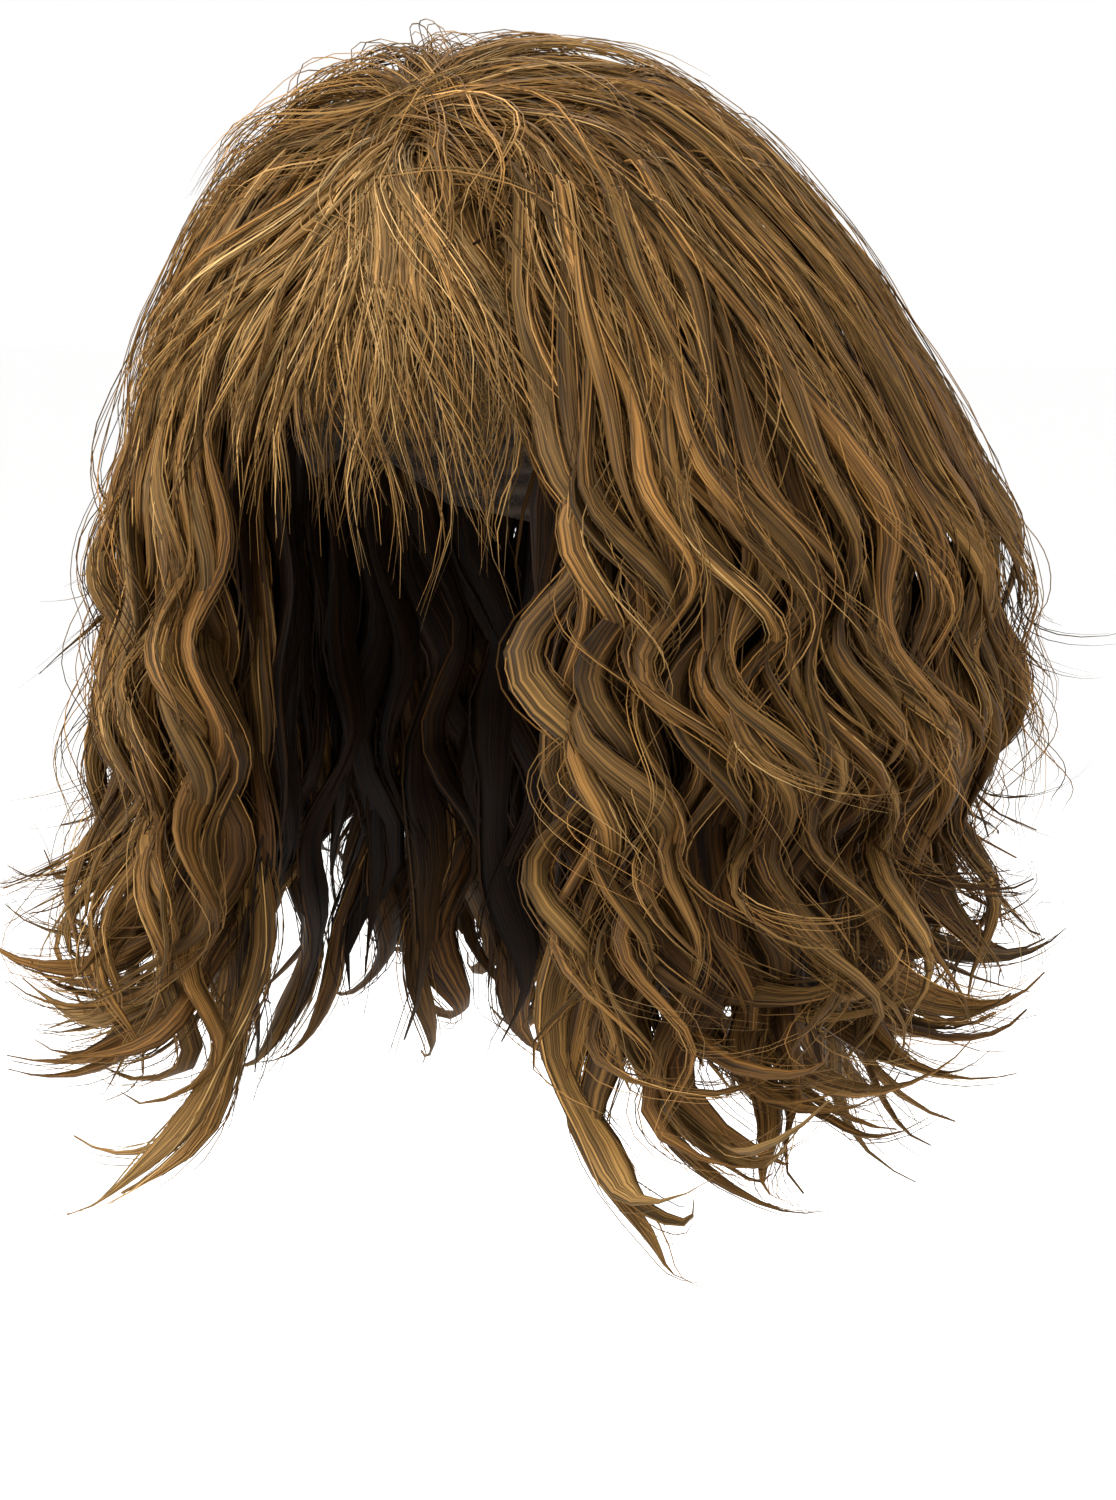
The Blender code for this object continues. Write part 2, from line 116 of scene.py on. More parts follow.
LAYERS = {
    "crown_hair": (
        (16, -180, 180, -0.02, 0.56, 0.56, 0.0, 0.8, 0.56, 0.56, 36, 5, 0.0, 0.0, 30, None, 0.32, 3, 2.0, 10, 1.0),
        (52, -180, 180, -0.08, 0.64, 0.64, 0.0, 0.5, 0.3, 0.2, 8, 4, 0.3, 0.0, 30, None, 0.43, 14, 0.8, 13, 0.0),
        (60, -180, 180, -0.04, 0.78, 0.78, 0.0, 0.4, 0.16, 0.08, 6, 4, 0.6, 0.0, 30, None, 0.5, 13, 0.6, 13, 0.0),
        (44, -180, 180, -0.16, 0.64, 0.64, 0.0, 0.3, 0.0, 0.0, 9, 7, 1.0, 0.0, 30, None, 0.55, 8, 0.5, 12, 0.0),
    ),
    "fringe": (
        (10, -44, 44, 0.16, 0.8, 0.8, 0.0, 0.8, 0.4, 0.5, 30, 4, 0.0, 0.0, 30, None, 0.38, 3, 2.0, 12, 1.0),
        (22, -56, 46, 0.18, 0.96, 0.98, 0.6, 0.6, 0.3, 0.34, 15, 4, 0.0, 0.0, 30, None, 0.51, 14, 0.7, 12, 0.75),
        (33, -62, 46, 0.28, 1.0, 1.08, 0.8, 0.4, 0.1, 0.12, 11, 3, 0.1, 0.0, 30, None, 0.63, 25, 0.5, 12, 0.55),
        (30, -62, 48, 0.3, 1.04, 1.18, 0.8, 0.3, 0.04, 0.06, 9, 3, 0.3, 0.0, 30, None, 0.67, 12, 0.5, 12, 0.0),
    ),
    "left_front_hair": (
        (9, 38, 98, 0.2, 1.36, 1.36, 0.0, 1.0, 0.56, 0.58, 32, 5, 0.2, 0.0, 60, None, 0.16, 3, 2.0, 12, 1.0),
        (12, 46, 96, 0.86, 1.88, 1.82, 0.0, 1.0, 0.86, 0.74, 16, 6, 0.3, 0.5, 80, 106, 0.14, 5, 1.0, 20, 0.9),
        (21, 44, 96, 0.88, 2.09, 2.0, 0.0, 1.0, 0.7, 0.44, 12, 6, 0.2, 2.5, 112, 106, 0.44, 8, 0.75, 30, 0.94),
        (14, 42, 96, 0.56, 2.04, 1.88, 0.0, 1.0, 0.4, 0.28, 13, 6, 0.6, 2.4, 85, 106, 0.38, 8, 0.7, 34, 0.94),
        (27, 42, 96, 0.24, 1.96, 1.76, 0.12, 1.0, 0.05, 0.03, 9.5, 5, 0.92, 2.3, 66, 106, 0.52, 8, 0.62, 42, 0.94),
        (12, 43, 96, 0.4, 1.42, 1.6, 0.12, 1.0, -0.01, -0.02, 8, 4, 0.95, 1.6, 55, 106, 0.56, 6, 0.6, 30, 0.9),
        (15, 42, 98, 0.4, 1.84, 1.62, 0.0, 1.0, -0.03, -0.12, 9, 6, 1.08, 1.5, 60, 106, 0.6, 5, 0.45, 44, 0.0),
    ),
    "left_back_hair": (
        (11, 94, 180, 0.2, 1.36, 1.36, 0.0, 1.0, 0.56, 0.58, 36, 5, 0.2, 0.0, 60, None, 0.16, 3, 2.0, 12, 1.0),
        (18, 97, 180, 0.8, 1.82, 1.94, 0.0, 1.0, 0.86, 0.74, 18, 6, 0.3, 0.5, 80, None, 0.13, 4, 1.2, 20, 0.9),
        (20, 98, 180, 0.88, 1.97, 2.08, 0.0, 1.0, 0.72, 0.52, 14, 6, 0.2, 2.2, 112, None, 0.33, 7, 0.8, 28, 0.94),
        (12, 98, 180, 0.56, 1.85, 2.02, 0.0, 1.0, 0.42, 0.34, 15, 6, 0.6, 2.3, 82, None, 0.37, 7, 0.8, 31, 0.94),
        (28, 96, 180, 0.24, 1.74, 2.0, 0.0, 1.0, 0.05, 0.06, 12, 5, 0.92, 2.2, 64, None, 0.5, 8, 0.75, 38, 0.94),
        (13, 96, 178, 0.4, 1.46, 1.7, 0.0, 1.0, -0.01, -0.02, 10, 4, 0.95, 1.6, 55, None, 0.54, 5, 0.7, 28, 0.9),
        (12, 96, 180, 0.4, 1.66, 1.94, 0.0, 1.0, -0.03, -0.12, 9, 6, 1.08, 1.5, 60, None, 0.58, 5, 0.45, 44, 0.0),
    ),
    # The wearer's right front is a little lighter in tone than the left front: painted light on that side.
    "right_front_hair": (
        (9, -30, -98, 0.2, 1.36, 1.36, 0.0, 1.0, 0.56, 0.58, 32, 5, 0.2, 0.0, 60, None, 0.16, 3, 2.0, 12, 1.0),
        (12, -38, -96, 0.86, 1.88, 1.82, 0.0, 1.0, 0.86, 0.74, 16, 6, 0.3, 0.5, 80, -68, 0.14, 5, 1.0, 20, 0.9),
        (21, -40, -96, 0.88, 2.12, 1.94, 0.0, 1.0, 0.74, 0.5, 12, 6, 0.2, 2.2, 135, -68, 0.5, 8, 0.75, 30, 0.94),
        (14, -36, -96, 0.56, 2.02, 1.86, 0.0, 1.0, 0.42, 0.32, 13, 6, 0.6, 2.3, 100, -68, 0.48, 8, 0.7, 34, 0.94),
        (27, -34, -96, 0.24, 1.96, 1.76, 0.12, 1.0, 0.2, 0.0, 9.5, 5, 0.92, 2.3, 66, -68, 0.59, 8, 0.62, 42, 0.94),
        (12, -35, -96, 0.4, 1.42, 1.6, 0.12, 1.0, 0.14, 0.0, 8, 4, 0.95, 1.6, 55, -68, 0.6, 6, 0.6, 30, 0.9),
        (15, -34, -98, 0.4, 1.84, 1.62, 0.0, 1.0, 0.06, -0.12, 9, 6, 1.08, 1.5, 60, -68, 0.64, 5, 0.45, 44, 0.0),
    ),
    "right_back_hair": (
        (11, -94, -180, 0.2, 1.36, 1.36, 0.0, 1.0, 0.56, 0.58, 36, 5, 0.2, 0.0, 60, None, 0.16, 3, 2.0, 12, 1.0),
        (18, -97, -180, 0.8, 1.82, 1.94, 0.0, 1.0, 0.86, 0.74, 18, 6, 0.3, 0.5, 80, None, 0.13, 4, 1.2, 20, 0.9),
        (20, -98, -180, 0.88, 1.94, 2.08, 0.0, 1.0, 0.72, 0.52, 14, 6, 0.2, 2.2, 112, None, 0.33, 7, 0.8, 28, 0.94),
        (12, -98, -180, 0.56, 1.84, 2.02, 0.0, 1.0, 0.42, 0.34, 15, 6, 0.6, 2.3, 82, None, 0.37, 7, 0.8, 31, 0.94),
        (28, -96, -180, 0.24, 1.74, 2.0, 0.0, 1.0, 0.1, 0.08, 12, 5, 0.92, 2.2, 64, None, 0.5, 8, 0.75, 38, 0.94),
        (13, -96, -178, 0.4, 1.46, 1.7, 0.0, 1.0, 0.04, -0.02, 10, 4, 0.95, 1.6, 55, None, 0.54, 5, 0.7, 28, 0.9),
        (12, -96, -180, 0.4, 1.66, 1.94, 0.0, 1.0, -0.03, -0.12, 9, 6, 1.08, 1.5, 60, None, 0.58, 5, 0.45, 44, 0.0),
    ),
}
SHORT_HAIR = ("crown_hair", "fringe")
FIRST_SEED = 400

# Hair colour from the deepest shade to the sun-lit strands, as sRGB bytes
COLOUR_RAMP = (
    # tone, red, green, blue
    (0.00, 28, 18, 9),
    (0.25, 64, 44, 22),
    (0.50, 114, 84, 46),
    (0.75, 150, 119, 76),
    (1.00, 178, 148, 104),
)
GAMMA = 2.2

# The crown: its roots are scattered, moved forwards and swirled round the whorl, and that fades out at TOP_END
ROOT_SCATTER = 0.008
PARTING = 0.034
PARTING_REACH = 0.35
SWIRL = 15.0
TOP_END = 0.62
PAST_WHORL = -0.5

# Over the crown the hair lies flatter, most of all on the left, and stands up in a tuft on the right
CROWN_FLATNESS = 0.23
FLAT_AZIMUTH = 70.0
FLAT_ALL_ROUND = 0.6
FLAT_ONE_SIDE = 0.4
FLAT_FROM = 0.55
FLAT_TO = 1.0
TUFT_LIFT = 0.009
TUFT_AZIMUTH = -100.0
TUFT_END = 0.75

# A lock's run, in shares of its length
HUB = 5.0
GATHER_END = 0.9
DRIFT_FROM = 0.2
DRIFT_BACK = 0.4
INSET_TIP_FROM = 0.45

# How uneven the waves are, and how the locks wander besides
UNEVEN = 0.22
UNEVEN_PITCH = 0.37
UNEVEN_OFFSET = 5.0
WANDER = 0.0055
WANDER_LENGTH = 0.10
WANDER_FROM = 0.1
WANDER_FULL = 0.5
WANDER_OFFSET = 9.0

# How far hair may stand out of the CAD's box, and how tips that turn outwards keep to it
BOX_MARGIN = 0.014
TIP_MARGIN = 0.8
LEAST_HEADING = 0.05
LEAST_TURN = 0.15
LEAST_FLIP = 0.01

# Locks. A size in millimetres over HALF_MILLIMETRES is half of it in metres. A profile is the share of the width at
# the root, where along the length the full width starts, and the share at the tip.
DENSE = 128
HALF_MILLIMETRES = 2000.0
LOW_ROOT = 0.7
OUTWARD_RISE = 0.4
TWIST = 1.6
TWIST_FROM = 0.9
TWIST_FULL = 1.9
SWELL = 0.30
SWELL_LENGTH = 0.085
SWELL_OFFSET = 40.0
TAPER_FROM = 0.76
LOCK_PROFILE = (0.7, 0.3, 0.40)

# Bodies, which fill the locks
CORE_SIDES = 8
CORE_WIDE = 0.90
CORE_THICK = 0.85
CORE_PROFILE = (0.30, 0.7, 0.06)
SHORT_CORE_PROFILE = (0.30, 0.12, 0.06)

# Strands. The ones under FINE_STRAND millimetres are finer and looser.
STRAND_SIDES = 3
FINE_STRAND = 0.6
STRAND_FLATNESS = 0.30
THIN_STRAND = 0.00022
STRAND_PROFILE = (0.7, 0.1, 0.15)
EDGE_TURN = 0.55
CROWDING = 0.11
NEAREST = 0.86
FARTHEST = 1.36
SHORT_FARTHEST = 1.12
LATE_START = 0.16
LATE_START_SHARE = 0.5
EARLY_STOP = 0.80
LOOSE = 0.0012
FINE_LOOSE = 0.0020
LOOSE_FROM = 0.30
LOOSE_FULL = 1.1
RIPPLE_SHORTEST = 0.045
RIPPLE_LONGEST = 0.09
RIPPLE_SKEW = 0.9
STRAY = 0.0015
FINE_STRAY = 0.0030
STRAY_FROM = 0.5
STRAND_TONES = 0.09
SHORT_STRAND_TONES = 0.06

# How much a tube's rings keep to its bends: the lower, the more
STRAIGHT_COST = 0.9

# Shades: painted light and shade on the tones, and each tube's own warmth
# Painted shade at the roots, fading out over the first ROOT_SHADE_END of a lock's length
ROOT_SHADE = 0.10
ROOT_SHADE_END = 0.22
# Painted shade lower down the hair
LOW_SHADE = 0.12
LOW_SHADE_FROM = 0.4
LOW_SHADE_FULL = 1.1
# Painted light on the lowest tips
TIP_LIGHT = 0.25
TIP_LIGHT_FROM = 1.45
TIP_LIGHT_FULL = 1.95
# Painted highlights on the waves' outward bends and painted shade in their hollows
BEND_PAINTED_HIGHLIGHT = 0.07
# Painted shade on the strands at a lock's edges and inner side
EDGE_SHADE = 0.08
# Painted shade on the locks' bodies
CORE_SHADE = 0.08
# Painted light along a body's middle and painted shade on its sides
CORE_RIDGE_PAINTED_LIGHT = 1.05
CORE_SIDE_PAINTED_SHADE = 0.36
WARMTH = 0.07
WARMTH_OFFSET = 900.0

# Streaks of the fibres: how many to a metre across and along, and where in the noise each tube starts
STREAKS = 1150.0
STREAK_RUN = 18.0
STREAK_OFFSETS = (370.0, 910.0, 130.0)

# The UV square: a tube's column is as wide as the tube, between limits, and the columns stand in rows
UV_ROWS = 5
UV_ROW_SPARE = 1.02
UV_TUBE_UNIT = 0.0006
UV_NARROWEST = 0.6
UV_WIDEST = 5.0
UV_FILL = 0.86
UV_FOOT = 0.06
UV_TALL = 0.88
UV_CAP_FOOT = 0.03
UV_CAP_TIP = 0.97
UV_CAP_WIDE = 0.4
UV_CAP_TALL = 0.018

# The photo's view: its size in pixels, the origin's pixel, and metres to a pixel at the origin
PHOTO_WIDTH = 1116
PHOTO_HEIGHT = 1500
ORIGIN_PIXEL_X = 530
ORIGIN_PIXEL_Y = 150
PIXEL = 0.00035
VIEW_AZIMUTH = 33.0
VIEW_ELEVATION = 6.0
VIEW_DISTANCE = 1.8
SENSOR = 36.0

FLOOR_HALF_SIZE = 12.0
FLOOR_LEVEL = -0.475
LIGHT_AIM = (0.0, 0.0, -0.15)
LIGHTS = (
    # name, azimuth, height, distance, size, watts
    ("key", -24.0, 0.9, 1.5, 0.9, 45.0),
    ("side", 95.0, 0.9, 1.7, 0.8, 17.0),
    ("top", 200.0, 1.5, 1.0, 0.9, 24.0),
)


def smoothstep(low, high, value):
    share = np.clip((value - low) / (high - low), 0.0, 1.0)
    return share * share * (3.0 - 2.0 * share)


def unit(vectors):
    return vectors / np.maximum(np.linalg.norm(vectors, axis=-1, keepdims=True), 1e-12)


def level(x, y):
    """Vectors without height."""
    return np.stack([x, y, np.zeros_like(x)], axis=-1)


def lift_at(azimuth, station):
    """How far the hair's outer surface stands off the cap there."""
    table = np.array(STAND_OFF)
    stations = np.concatenate([[0.0], table[:, 0]])
    sizes = (FRONT_LIFT, SIDE_LIFT, SIDE_LIFT * LEFT_LIFT_SHARE, BACK_LIFT)
    front, right, left, back = (
        np.interp(station, stations, np.concatenate([[CROWN_LIFT], table[:, column + 1] * size]))
        for column, size in enumerate(sizes)
    )
    angle = np.radians(azimuth)
    side = np.where(np.sin(angle) > 0.0, left, right)
    end = np.where(np.cos(angle) > 0.0, front, back)
    tuft = TUFT_LIFT * np.maximum(np.cos(angle - math.radians(TUFT_AZIMUTH)), 0.0) ** 2
    tuft = tuft * np.sin(math.pi * np.clip(station / TUFT_END, 0.0, 1.0))
    return end * np.cos(angle) ** 2 + side * np.sin(angle) ** 2 + tuft


def dome_point(azimuth, station, offset, shift_x, shift_y):
    """A point that stands off the cap's inner face, shifted over the crown."""
    angle = np.radians(azimuth)
    spread = np.sin(np.clip(station, PAST_WHORL, 1.0) * math.pi / 2.0)
    half_width = CAP_HALF_WIDTH + offset
    half_length = CAP_HALF_LENGTH + offset
    x = half_width * spread * np.sin(angle) + WHORL_X * (1.0 - spread) + shift_x
    y = -half_length * spread * np.cos(angle) + WHORL_Y * (1.0 - spread) + shift_y
    height = np.sqrt(np.maximum(1.0 - (x / half_width) ** 2 - (y / half_length) ** 2, 0.0))
    z = (CAP_DEPTH + offset) * height - CAP_DEPTH - HAIR_HANG * np.maximum(station - 1.0, 0.0)
    return np.stack([x, y, z], axis=-1)


def travel(station):
    """Length of hair from the whorl to a station."""
    over_cap = CAP_DEPTH * math.pi / 2.0
    return np.minimum(station, 1.0) * over_cap + np.maximum(station - 1.0, 0.0) * HAIR_HANG


def depth_at(column, share, station, azimuth):
    """How deep the locks run: 0 is the hair's outer surface and 1 is the backing."""
    deep = column["inset"] + (column["inset_tip"] - column["inset"]) * smoothstep(INSET_TIP_FROM, 1.0, share)
    leftward = FLAT_ALL_ROUND + FLAT_ONE_SIDE * np.cos(np.radians(azimuth - FLAT_AZIMUTH))
    deep = deep + CROWN_FLATNESS * leftward * (1.0 - smoothstep(FLAT_FROM, FLAT_TO, station))
    return column["sprout"] + (deep - column["sprout"]) * smoothstep(0.0, ROOT_RISE, station - column["root"])


def waves_at(column, station, angle):
    """How far the waves take the locks sideways and outwards, and how far they bulge."""
    growth = smoothstep(WAVE_GROWS_FROM, WAVE_FULL_FROM, station) * column["wave"]
    phase = 2.0 * math.pi * travel(station) / WAVE_LENGTH * column["pitch"]
    phase = phase + WAVE_STAGGER * np.sin(2.0 * angle) + WAVE_TURN * angle + column["phase"]
    uneven = 1.0 + UNEVEN * np.sin(UNEVEN_PITCH * phase + UNEVEN_OFFSET * column["phase"])
    swing = WAVE_SWING * growth * uneven * np.sin(phase)
    roll = WAVE_ROLL * growth * uneven * np.cos(phase)
    wander = WANDER * smoothstep(WANDER_FROM, WANDER_FULL, station)
    wander_phase = 2.0 * math.pi * travel(station) / (WANDER_LENGTH * column["pitch"] ** 2)
    swing = swing + wander * np.sin(wander_phase + WANDER_OFFSET * column["phase"])
    return swing, roll, growth * np.cos(phase)


def turn_out(point, column, station, away):
    """Turns the locks' tips outwards round a bend, less far where the box's limit is near."""
    arc = np.clip(travel(station) - travel(column["end"]) + column["bend"], 0.0, None)
    radius = column["bend"] / np.maximum(column["flip"], LEAST_FLIP)
    outwards = radius * (1.0 - np.cos(arc / radius))
    margin = TIP_MARGIN * BOX_MARGIN
    low, high = np.array(cad_box[0])[:2], np.array(cad_box[1])[:2]
    tip, ahead = point[:, -1, :2], np.broadcast_to(away, point.shape)[:, -1, :2]
    wall = np.where(ahead > 0.0, high + margin - tip, tip - low + margin)
    room = (wall / np.maximum(np.abs(ahead), LEAST_HEADING)).min(axis=1)
    outwards = outwards * np.clip(room / np.maximum(outwards[:, -1], 1e-6), LEAST_TURN, 1.0)[:, None]
    point = point + away * outwards[..., None]
    point[..., 2] += arc - radius * np.sin(arc / radius)
    return point


def lock_paths(locks):
    """Centre lines of the locks, their stations, how far along each point is, and how far its wave bulges."""
    share = np.linspace(0.0, 1.0, DENSE)[None, :]
    column = {key: value[:, None] for key, value in locks.items()}
    station = column["root"] + (column["end"] - column["root"]) * share
    near_top = 1.0 - smoothstep(0.0, TOP_END, station)
    to_hub = (HUB - column["azimuth"]) * column["gather"] * (1.0 - smoothstep(0.0, GATHER_END, share))
    azimuth = column["azimuth"] + to_hub + column["drift"] * (smoothstep(DRIFT_FROM, 1.0, share) - DRIFT_BACK)
    azimuth = azimuth + column["swirl"] * near_top
    deep = depth_at(column, share, station, azimuth)
    offset = BACKING + (lift_at(azimuth, station) - BACKING) * (1.0 - deep)
    point = dome_point(azimuth, station, offset, column["shift_x"] * near_top, column["shift_y"] * near_top)
    angle = np.radians(azimuth)
    swing, roll, bulge = waves_at(column, station, angle)
    sideways = level(np.cos(angle), np.sin(angle))
    outward = level(np.sin(angle), -np.cos(angle))
    point = point + sideways * swing[..., None] + outward * roll[..., None]
    heading = angle + np.radians(column["lean"])
    point = turn_out(point, column, station, level(np.sin(heading), -np.cos(heading)))
    return point, station, np.broadcast_to(share, station.shape), bulge


def transport(points, outward):
    """Side and normal of each point of each path, carried along it without turning about it."""
    along = unit(np.gradient(points, axis=1))
    side = np.empty_like(points)
    side[:, 0] = unit(np.cross(outward, along[:, 0]))
    for index in range(1, points.shape[1]):
        last = side[:, index - 1]
        ahead = along[:, index]
        side[:, index] = unit(last - ahead * np.sum(last * ahead, axis=-1, keepdims=True))
    return side, np.cross(along, side)


def thin_out(points, rings):
    """Places along each dense path, closer together where it bends, as fractional indices."""
    step = np.diff(points, axis=1)
    length = np.maximum(np.linalg.norm(step, axis=-1), 1e-9)
    heading = step / length[..., None]
    turn = np.linalg.norm(np.diff(heading, axis=1), axis=-1)
    bend = np.concatenate([turn[:, :1], turn], axis=1) / length
    cost = np.cumsum(length * (np.sqrt(bend) + STRAIGHT_COST), axis=1)
    cost = np.concatenate([np.zeros((len(points), 1)), cost], axis=1)
    cost /= cost[:, -1:]
    wanted = np.linspace(0.0, 1.0, rings)
    places = np.arange(points.shape[1], dtype=float)
    return np.stack([np.interp(wanted, row, places) for row in cost])


def pick(values, index):
    """Values between the samples of each path."""
    low = np.minimum(index.astype(int), values.shape[1] - 2)
    part = index - low
    rows = np.arange(len(values))[:, None]
    if values.ndim == 3:
        part = part[..., None]
    return values[rows, low] * (1.0 - part) + values[rows, low + 1] * part


def tone_colour(tone):
    """Linear colours of the ramp."""
    table = np.array(COLOUR_RAMP)
    linear = (table[:, 1:] / 255.0) ** GAMMA
    return np.stack([np.interp(tone, table[:, 0], linear[:, column]) for column in range(3)], axis=-1)


def keep_in_box(points):
    """Eases points that stand far out of the CAD box back towards it."""
    low, high = np.array(cad_box[0]), np.array(cad_box[1])
    over = np.maximum(points - high, 0.0)
    under = np.maximum(low - points, 0.0)
    inside = np.clip(points, low, high)
    return inside + BOX_MARGIN * (np.tanh(over / BOX_MARGIN) - np.tanh(under / BOX_MARGIN))


def uv_columns(widths):
    """Each tube's column in the UV square: its left edge, its width, its row's foot, and a row's height."""
    ends = np.cumsum(widths)
    starts = ends - widths
    row_width = ends[-1] / UV_ROWS * UV_ROW_SPARE + widths.max()
    row = np.floor(starts / row_width).astype(int)
    first = np.array([starts[row == index].min() for index in range(row.max() + 1)])
    whole = row_width + widths.max()
    rows = row.max() + 1.0
    return (starts - first[row]) / whole, widths * UV_FILL / whole, row / rows, 1.0 / rows


class Tubes:
    """Closed tapered tubes that are joined into one mesh."""

    def __init__(self):
        self.points, self.tints, self.fibres, self.widths, self.batches = [], [], [], [], []
        self.count = 0

    def add(self, paths, side, normal, wide, thick, tone, start, sides):
        """Adds tubes round paths.

        paths, side and normal are tubes x rings x 3. wide and thick, which are half sizes, and tone are tubes x
        rings. start, from 0 to 1 for each tube, gives it streaks and a warmth of its own.
        """
        tubes, rings, _ = paths.shape
        turn = np.arange(sides) / sides * 2.0 * math.pi + math.pi / 2.0
        cosine, sine = np.cos(turn)[:, None], np.sin(turn)[:, None]
        across = cosine * side[:, :, None, :]
        deep = sine * normal[:, :, None, :]
        points = paths[:, :, None, :] + across * wide[:, :, None, None] + deep * thick[:, :, None, None]
        index = self.count + np.arange(tubes * rings * sides).reshape(tubes, rings, sides)
        after = np.roll(index, -1, axis=2)
        quads = np.stack([index[:, :-1], after[:, :-1], after[:, 1:], index[:, 1:]], axis=-1)

        step = np.linalg.norm(np.diff(paths, axis=1), axis=-1)
        along = np.concatenate([np.zeros((tubes, 1)), np.cumsum(step, axis=1)], axis=1)
        widest, thickest = (size.max(axis=1)[:, None, None] * STREAKS for size in (wide, thick))
        offset_x, offset_y, offset_z = (start[:, None, None] * offset for offset in STREAK_OFFSETS)
        fibre = np.stack(np.broadcast_arrays(
            np.cos(turn) * widest + offset_x,
            np.sin(turn) * thickest + offset_y,
            along[:, :, None] * STREAK_RUN + offset_z,
        ), axis=-1)

        warmth = WARMTH * np.sin(start * WARMTH_OFFSET)[:, None]
        shift = np.stack([1.0 + warmth, np.ones_like(warmth), 1.0 - warmth], axis=-1)
        tint = np.repeat((tone_colour(tone) * shift)[:, :, None, :], sides, axis=2)
        smooth = unit(across * (thick / wide)[:, :, None, None] + deep)
        # A body gets painted light along its middle and painted shade on its sides
        if sides == CORE_SIDES:
            tint = tint * (CORE_RIDGE_PAINTED_LIGHT - CORE_SIDE_PAINTED_SHADE * cosine ** 2)
        if sides == STRAND_SIDES:
            smooth = unit(normal[:, :, None, :] + EDGE_TURN * cosine * side[:, :, None, :])
        smooth_after = np.roll(smooth, -1, axis=2)
        facing = np.stack([smooth[:, :-1], smooth_after[:, :-1], smooth_after[:, 1:], smooth[:, 1:]], axis=3)
        if sides == STRAND_SIDES:
            facing[:, :, 1] = -normal[:, :-1, None, :]
        ahead = unit(np.gradient(paths, axis=1))
        end_facings = [np.repeat(end, sides, axis=0) for end in (-ahead[:, 0], ahead[:, -1])]

        self.points.append(points.reshape(-1, 3))
        self.fibres.append(fibre.reshape(-1, 3))
        self.tints.append(tint.reshape(-1, 3))
        self.batches.append((quads, index[:, 0, ::-1], index[:, -1], [facing.reshape(-1, 3), *end_facings]))
        self.widths.append(np.clip(wide.max(axis=1) / UV_TUBE_UNIT, UV_NARROWEST, UV_WIDEST))
        self.count += tubes * rings * sides

    def faces(self):
        """All corners, the faces' sizes, and each corner's UV place and facing, batch after batch."""
        left, wide, low, tall = uv_columns(np.concatenate(self.widths))
        corners, sizes, uvs, facings = [], [], [], []
        begin = 0
        for quads, foot, tip, batch_facings in self.batches:
            facings.extend(batch_facings)
            tubes, spans, sides, _ = quads.shape
            mine = slice(begin, begin + tubes)
            begin += tubes
            u = left[mine, None, None] + wide[mine, None, None] * (np.arange(sides + 1) / sides)[None, None, :]
            v = low[mine, None, None] + tall * (UV_FOOT + UV_TALL * np.arange(spans + 1) / spans)[None, :, None]
            uv = np.stack(np.broadcast_arrays(u, v), axis=-1)
            quad_uv = np.stack([uv[:, :-1, :-1], uv[:, :-1, 1:], uv[:, 1:, 1:], uv[:, 1:, :-1]], axis=3)
            corners.append(quads.reshape(-1))
            sizes.append(np.full(quads.size // 4, 4))
            uvs.append(quad_uv.reshape(-1, 2))
            turn = np.arange(sides) / sides * 2.0 * math.pi
            for ring, height in ((foot, UV_CAP_FOOT), (tip, UV_CAP_TIP)):
                cap_u = left[mine, None] + wide[mine, None] * (0.5 + UV_CAP_WIDE * np.cos(turn))[None, :]
                cap_v = low[mine, None] + tall * (height + UV_CAP_TALL * np.sin(turn))[None, :]
                corners.append(ring.reshape(-1))
                sizes.append(np.full(tubes, sides))
                uvs.append(np.stack([cap_u, cap_v], axis=-1).reshape(-1, 2))
        return tuple(np.concatenate(parts) for parts in (corners, sizes, uvs, facings))

    def build(self, name):
        """One object of all the tubes."""
        corners, sizes, uvs, facings = self.faces()
        points = np.concatenate(self.points)
        mesh = bpy.data.meshes.new(name)
        mesh.vertices.add(len(points))
        mesh.vertices.foreach_set("co", points.astype(np.float32).ravel())
        mesh.loops.add(len(corners))
        mesh.loops.foreach_set("vertex_index", corners.astype(np.int32))
        mesh.polygons.add(len(sizes))
        mesh.polygons.foreach_set("loop_start", np.concatenate([[0], np.cumsum(sizes)[:-1]]).astype(np.int32))
        mesh.update(calc_edges=True)
        layer = mesh.uv_layers.new(name="OFBake")
        layer.data.foreach_set("uv", uvs.astype(np.float32).ravel())
        tint = mesh.attributes.new("tint", "FLOAT_COLOR", "POINT")
        values = np.concatenate(self.tints)
        tint.data.foreach_set("color", np.hstack([values, np.ones((len(values), 1))]).astype(np.float32).ravel())
        fibre = mesh.attributes.new("fibre", "FLOAT_VECTOR", "POINT")
        fibre.data.foreach_set("vector", np.concatenate(self.fibres).astype(np.float32).ravel())
        mesh.validate()
        mesh.shade_smooth()
        mesh.normals_split_custom_set(facings.astype(np.float32))
        obj = bpy.data.objects.new(name, mesh)
        bpy.context.scene.collection.objects.link(obj)
        return obj


def drift_of(name, fine, spacing):
    """How many degrees the locks of a layer drift to one side, as a standard deviation."""
    if name == "crown_hair":
        return 22.0
    if name == "fringe":
        return 3.0
    return 12.0 if fine else min(spacing * 1.3, 6.0)


